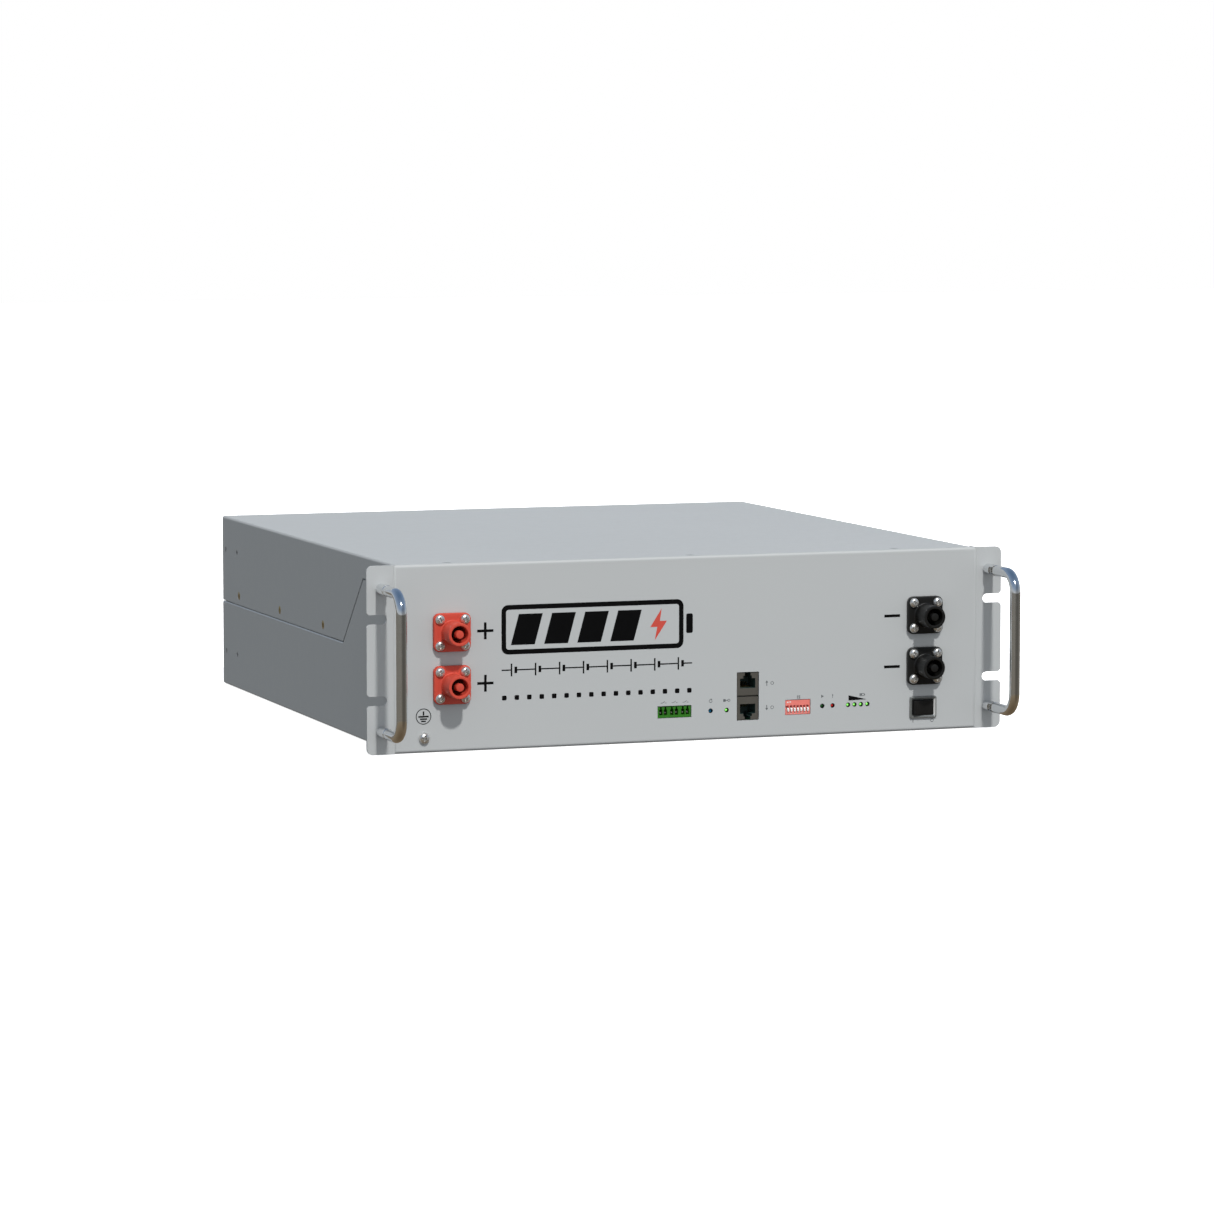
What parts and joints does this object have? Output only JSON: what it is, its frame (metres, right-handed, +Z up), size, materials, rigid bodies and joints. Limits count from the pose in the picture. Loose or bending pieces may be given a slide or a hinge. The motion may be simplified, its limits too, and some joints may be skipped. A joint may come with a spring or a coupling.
{
  "type": "server rack battery",
  "caption": "Rack-mount lithium battery in a folded steel case with rack ears, folding handles, round power receptacles and a row of small controls.",
  "frame": {"origin": "middle of the case's underside: half-way across the case and half-way along its depth of 462 mm", "axes": "+X across the rack, to the right as seen from the front; +Y from the front panel towards the rear; +Z up"},
  "size_m": [0.4826, 0.5136, 0.1325],
  "materials": {
    "case_paint": "satin",
    "chrome": "polished",
    "zinc_steel": "satin",
    "red_plastic": "satin",
    "black_plastic": "satin",
    "switch_plastic": "satin",
    "copper": "satin",
    "red_cable": "satin",
    "black_cable": "satin",
    "jack_shell": "satin",
    "green_plastic": "satin",
    "dip_plastic": "satin",
    "white_plastic": "satin",
    "blue_plastic": "satin",
    "green_lens": "gloss",
    "dark_green_lens": "gloss",
    "red_lens": "gloss",
    "board_laminate": "matte",
    "cell_can": "satin",
    "contact_plate": "satin"
  },
  "bodies": {
    "case": {"chassis_tray": "case_paint", "top_cover": "case_paint", "front_panel": "case_paint", "left_ear": "case_paint", "right_ear": "case_paint", "left_lower_handle_post": "chrome", "left_upper_handle_post": "chrome", "right_lower_handle_post": "chrome", "right_upper_handle_post": "chrome", "left_lower_hinge_pin": "zinc_steel", "left_upper_hinge_pin": "zinc_steel", "right_lower_hinge_pin": "zinc_steel", "right_upper_hinge_pin": "zinc_steel", "ground_screw": "zinc_steel", "positive_upper_receptacle": "red_plastic", "positive_lower_receptacle": "red_plastic", "negative_upper_receptacle": "black_plastic", "negative_lower_receptacle": "black_plastic", "power_switch_body": "switch_plastic", "positive_terminal_bar": "copper", "negative_terminal_bar": "copper", "positive_cable": "red_cable", "negative_cable": "black_cable", "network_jack_block": "jack_shell", "dry_contact_header": "green_plastic", "address_switch_body": "dip_plastic", "mode_indicator": "green_lens", "charge_level_indicator": "green_lens", "run_indicator": "dark_green_lens", "alarm_indicator": "red_lens", "interface_board": "board_laminate", "bms_board": "board_laminate", "cell_01": "cell_can", "cell_02": "cell_can", "cell_03": "cell_can", "cell_04": "cell_can", "cell_05": "cell_can", "cell_06": "cell_can", "cell_07": "cell_can", "cell_08": "cell_can", "cell_09": "cell_can", "cell_10": "cell_can", "cell_11": "cell_can", "cell_12": "cell_can", "cell_13": "cell_can", "cell_14": "cell_can", "cell_15": "cell_can", "cell_16": "cell_can", "cell_contact_board": "contact_plate"},
    "left_handle": {"left_handle": "chrome"},
    "right_handle": {"right_handle": "chrome"},
    "power_rocker": {"power_rocker": "black_plastic"},
    "reset_button": {"reset_button": "blue_plastic"},
    "address_slider_1": {"address_slider_1": "white_plastic"},
    "address_slider_2": {"address_slider_2": "white_plastic"},
    "address_slider_3": {"address_slider_3": "white_plastic"},
    "address_slider_4": {"address_slider_4": "white_plastic"},
    "address_slider_5": {"address_slider_5": "white_plastic"},
    "address_slider_6": {"address_slider_6": "white_plastic"},
    "address_slider_7": {"address_slider_7": "white_plastic"}
  },
  "joints": [
    {"name": "left_handle_fold", "type": "hinge", "parent": "case", "child": "left_handle", "pos_m": [-0.2307, -0.2424, 0.06625], "axis": [0, 0, 1], "range_deg": [0, 90]},
    {"name": "right_handle_fold", "type": "hinge", "parent": "case", "child": "right_handle", "pos_m": [0.2307, -0.2424, 0.06625], "axis": [0, 0, -1], "range_deg": [0, 90]},
    {"name": "power_rocker_tilt", "type": "hinge", "parent": "case", "child": "power_rocker", "pos_m": [0.1797, -0.2305, 0.017], "axis": [0, 0, -1], "range_deg": [0, 16]},
    {"name": "reset_button_press", "type": "slide", "parent": "case", "child": "reset_button", "axis": [0, 1, 0], "range_m": [0, 0.0008]},
    {"name": "address_slider_1_shift", "type": "slide", "parent": "case", "child": "address_slider_1", "axis": [0, 0, 1], "range_m": [0, 0.0016]},
    {"name": "address_slider_2_shift", "type": "slide", "parent": "case", "child": "address_slider_2", "axis": [0, 0, 1], "range_m": [0, 0.0016]},
    {"name": "address_slider_3_shift", "type": "slide", "parent": "case", "child": "address_slider_3", "axis": [0, 0, 1], "range_m": [0, 0.0016]},
    {"name": "address_slider_4_shift", "type": "slide", "parent": "case", "child": "address_slider_4", "axis": [0, 0, 1], "range_m": [0, 0.0016]},
    {"name": "address_slider_5_shift", "type": "slide", "parent": "case", "child": "address_slider_5", "axis": [0, 0, 1], "range_m": [0, 0.0016]},
    {"name": "address_slider_6_shift", "type": "slide", "parent": "case", "child": "address_slider_6", "axis": [0, 0, 1], "range_m": [0, 0.0016]},
    {"name": "address_slider_7_shift", "type": "slide", "parent": "case", "child": "address_slider_7", "axis": [0, 0, 1], "range_m": [0, 0.0016]}
  ]
}
